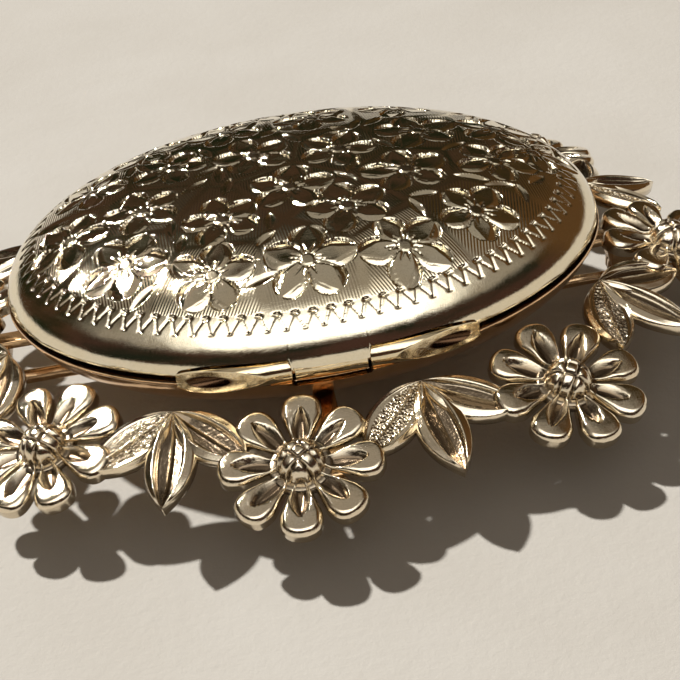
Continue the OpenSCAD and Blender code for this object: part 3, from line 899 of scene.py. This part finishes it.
bpy.ops.mesh.primitive_plane_add(size=4.0, location=(0, 0, 0))
floor = bpy.context.object
floor.name = "floor"
stone, t = new_material("pale_floor")
where = t.millimetres()
mottle = t.noise(where, 0.05, 6.0, 0.6)
grain = t.noise(where, 1.5, 5.0, 0.7)
colour = t.mix(t.remap(mottle, 0.35, 0.7, 0, 1), rgba((0.55, 0.535, 0.50)),
               rgba((0.50, 0.48, 0.44)))
bump = t.add("Bump", {"Height": grain, "Distance": 0.0001, "Strength": 0.5})
shader = t.add("BsdfPrincipled", {"Base Color": colour, "Roughness": 0.8,
                                  "Normal": bump.outputs[0]})
t.add("OutputMaterial", {"Surface": shader.outputs[0]})
floor.data.materials.append(stone)
floor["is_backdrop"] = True

world = bpy.data.worlds.new("studio")
world.use_nodes = True
bpy.context.scene.world = world
t = Tree(world.node_tree)
direction = t.add("TexCoord").outputs["Generated"]
xyz = t.add("SeparateXYZ", {"Vector": direction}).outputs
blotch = t.noise(direction, 3.0, 4.0, 0.6)
leafy = t.noise(direction, 7.0, 3.0, 0.6)
# Behind: dark green and brown, with a few lighter breaks
behind = t.mix(t.remap(blotch, 0.42, 0.62, 0, 1), rgba((0.010, 0.014, 0.006)),
               rgba((0.060, 0.034, 0.020)))
behind = t.mix(t.remap(leafy, 0.62, 0.74, 0, 1), behind, rgba((0.12, 0.105, 0.075)))
front = t.mix(t.remap(blotch, 0.4, 0.6, 0, 1), rgba((0.012, 0.016, 0.010)),
              rgba((0.06, 0.030, 0.022)))
behind = t.mix(t.remap(xyz[0], 0.30, 0.75, 0, 1), behind, rgba((0.10, 0.052, 0.020)))
low = t.mix(t.remap(xyz[1], -0.15, 0.15, 0, 1), front, behind)
# Open sky overhead, brightest on the camera's side; its lower edge is ragged
ragged = t.math("ADD", xyz[2], t.math("MULTIPLY", t.math("SUBTRACT", leafy, 0.5), 0.22))
edge_front = t.remap(ragged, 0.42, 0.52, 0, 1)
edge_behind = t.remap(ragged, 0.80, 0.92, 0, 1)
side = t.remap(xyz[1], -0.15, 0.2, 0, 1)
open_sky = t.add("Mix", {0: side, 2: edge_front, 3: edge_behind}).outputs[0]
bright = t.math("MULTIPLY", t.remap(xyz[1], -0.1, -0.40, 0, 1),
                t.remap(xyz[2], 0.48, 0.58, 0, 1))
bright = t.math("MULTIPLY", bright, t.remap(t.math("ABSOLUTE", xyz[0]), 0.45, 0.7, 1, 0))
sky = t.mix(bright, rgba((0.30, 0.27, 0.23)), rgba((2.1, 2.06, 1.95)))
colour = t.mix(open_sky, low, sky)
# Diffuse surfaces get an even light, and the camera sees a plain backdrop past the floor. What
# the gold reflects is the surroundings above.
path = t.add("LightPath").outputs
colour = t.mix(path["Is Diffuse Ray"], colour, rgba((0.17, 0.14, 0.115)))
colour = t.mix(path["Is Camera Ray"], colour, rgba((0.76, 0.70, 0.63)))
background = t.add("Background", {"Color": colour, "Strength": 1.0})
t.add("OutputWorld", {"Surface": background.outputs[0]})

sun = bpy.data.lights.new("key", "SUN")
sun.energy = 4.2
sun.angle = math.radians(2.5)
sun.color = (1.0, 0.96, 0.90)
key = bpy.data.objects.new("key", sun)
key.rotation_euler = Vector((0.45, -0.56, -0.90)).to_track_quat("-Z", "Y").to_euler()
bpy.context.scene.collection.objects.link(key)

camera_data = bpy.data.cameras.new("camera")
camera_data.lens = 79.4
camera_data.sensor_width = 36.0
camera_data.clip_start = 0.005
camera_data.clip_end = 20.0
camera = bpy.data.objects.new("camera", camera_data)
# The camera's right and up directions and its place, from a perspective fit of the reference view
right = Vector((0.98390, -0.13311, -0.11921))
up = Vector((0.17232, 0.53028, 0.83013))
back = right.cross(up)
view = Matrix((right, up, back)).transposed().to_4x4()
view.translation = Vector((-0.002752, -0.071232, 0.039542 + SEAM * MM))
camera.matrix_world = view
bpy.context.scene.collection.objects.link(camera)
bpy.context.scene.camera = camera
bpy.context.scene.view_settings.view_transform = "Standard"

low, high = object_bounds()
